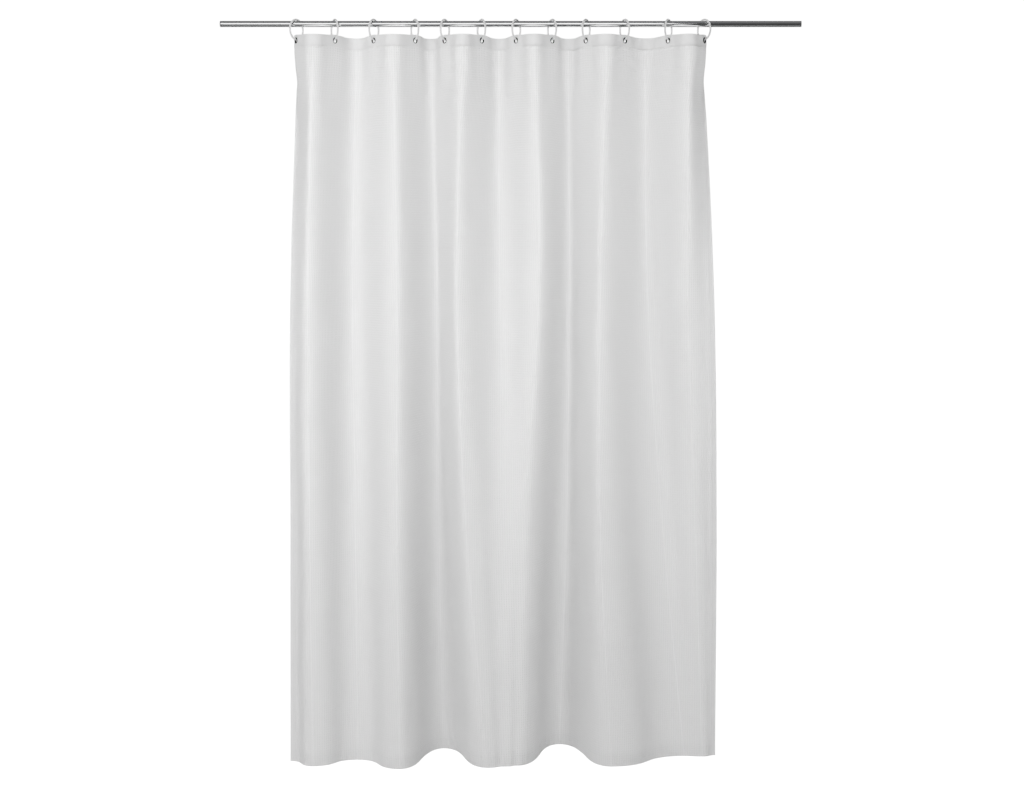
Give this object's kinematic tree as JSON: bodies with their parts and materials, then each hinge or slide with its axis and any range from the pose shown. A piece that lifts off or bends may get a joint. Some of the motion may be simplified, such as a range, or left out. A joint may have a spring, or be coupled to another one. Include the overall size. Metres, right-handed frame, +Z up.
{
  "type": "shower curtain",
  "caption": "Pleated white waffle-weave shower curtain with metal eyelets, hung by plastic O-rings from a slim straight steel rod; it swings on the rod and draws to one side.",
  "frame": {"origin": "middle of the rod's axis", "axes": "+X along the rod towards the end that the curtain is drawn from, +Z up, -Y towards the room"},
  "size_m": [1.45, 0.236, 1.8682],
  "materials": {
    "rod_steel": "polished steel tube, slightly dulled",
    "plug_plastic": "matt grey moulded plastic",
    "ring_plastic": "smooth white moulded plastic",
    "eyelet_metal": "dark grey plated metal, satin",
    "header_cloth": "plain doubled white cloth with a stitched lower edge",
    "waffle_cloth": "matt white waffle weave with small square cells"
  },
  "bodies": {
    "rod": {"rod_tube": "rod_steel", "rod_plug_left": "plug_plastic", "rod_plug_right": "plug_plastic"},
    "curtain": {"curtain_panel": "waffle_cloth", "header_band": "header_cloth"},
    "ring_01": {"ring_01": "ring_plastic", "eyelet_front_01": "eyelet_metal", "eyelet_washer_01": "eyelet_metal"},
    "ring_02": {"ring_02": "ring_plastic", "eyelet_front_02": "eyelet_metal", "eyelet_washer_02": "eyelet_metal"},
    "ring_03": {"ring_03": "ring_plastic", "eyelet_front_03": "eyelet_metal", "eyelet_washer_03": "eyelet_metal"},
    "ring_04": {"ring_04": "ring_plastic", "eyelet_front_04": "eyelet_metal", "eyelet_washer_04": "eyelet_metal"},
    "ring_05": {"ring_05": "ring_plastic", "eyelet_front_05": "eyelet_metal", "eyelet_washer_05": "eyelet_metal"},
    "ring_06": {"ring_06": "ring_plastic", "eyelet_front_06": "eyelet_metal", "eyelet_washer_06": "eyelet_metal"},
    "ring_07": {"ring_07": "ring_plastic", "eyelet_front_07": "eyelet_metal", "eyelet_washer_07": "eyelet_metal"},
    "ring_08": {"ring_08": "ring_plastic", "eyelet_front_08": "eyelet_metal", "eyelet_washer_08": "eyelet_metal"},
    "ring_09": {"ring_09": "ring_plastic", "eyelet_front_09": "eyelet_metal", "eyelet_washer_09": "eyelet_metal"},
    "ring_10": {"ring_10": "ring_plastic", "eyelet_front_10": "eyelet_metal", "eyelet_washer_10": "eyelet_metal"},
    "ring_11": {"ring_11": "ring_plastic", "eyelet_front_11": "eyelet_metal", "eyelet_washer_11": "eyelet_metal"},
    "ring_12": {"ring_12": "ring_plastic", "eyelet_front_12": "eyelet_metal", "eyelet_washer_12": "eyelet_metal"}
  },
  "joints": [
    {"name": "curtain_swing", "type": "hinge", "parent": "rod", "child": "curtain", "pos_m": [0, 0, 0], "axis": [1, 0, 0], "range_deg": [-20, 20]},
    {"name": "draw_01", "type": "slide", "parent": "curtain", "child": "ring_01", "axis": [1, 0, 0], "range_m": [-0.042, 0]},
    {"name": "draw_02", "type": "slide", "parent": "curtain", "child": "ring_02", "axis": [1, 0, 0], "range_m": [-0.101, 0]},
    {"name": "draw_03", "type": "slide", "parent": "curtain", "child": "ring_03", "axis": [1, 0, 0], "range_m": [-0.162, 0]},
    {"name": "draw_04", "type": "slide", "parent": "curtain", "child": "ring_04", "axis": [1, 0, 0], "range_m": [-0.225, 0]},
    {"name": "draw_05", "type": "slide", "parent": "curtain", "child": "ring_05", "axis": [1, 0, 0], "range_m": [-0.271, 0]},
    {"name": "draw_06", "type": "slide", "parent": "curtain", "child": "ring_06", "axis": [1, 0, 0], "range_m": [-0.328, 0]},
    {"name": "draw_07", "type": "slide", "parent": "curtain", "child": "ring_07", "axis": [1, 0, 0], "range_m": [-0.382, 0]},
    {"name": "draw_08", "type": "slide", "parent": "curtain", "child": "ring_08", "axis": [1, 0, 0], "range_m": [-0.437, 0]},
    {"name": "draw_09", "type": "slide", "parent": "curtain", "child": "ring_09", "axis": [1, 0, 0], "range_m": [-0.49, 0]},
    {"name": "draw_10", "type": "slide", "parent": "curtain", "child": "ring_10", "axis": [1, 0, 0], "range_m": [-0.549, 0]},
    {"name": "draw_11", "type": "slide", "parent": "curtain", "child": "ring_11", "axis": [1, 0, 0], "range_m": [-0.617, 0]},
    {"name": "draw_12", "type": "slide", "parent": "curtain", "child": "ring_12", "axis": [1, 0, 0], "range_m": [-0.671, 0], "deforming": ["curtain_panel", "header_band"]}
  ],
  "couplings": [
    {"joint": "draw_01", "follows": "draw_12", "ratio": 0.060998},
    {"joint": "draw_02", "follows": "draw_12", "ratio": 0.1488},
    {"joint": "draw_03", "follows": "draw_12", "ratio": 0.23937},
    {"joint": "draw_04", "follows": "draw_12", "ratio": 0.33364},
    {"joint": "draw_05", "follows": "draw_12", "ratio": 0.40296},
    {"joint": "draw_06", "follows": "draw_12", "ratio": 0.48706},
    {"joint": "draw_07", "follows": "draw_12", "ratio": 0.56747},
    {"joint": "draw_08", "follows": "draw_12", "ratio": 0.64972},
    {"joint": "draw_09", "follows": "draw_12", "ratio": 0.72828},
    {"joint": "draw_10", "follows": "draw_12", "ratio": 0.81701},
    {"joint": "draw_11", "follows": "draw_12", "ratio": 0.91775}
  ]
}
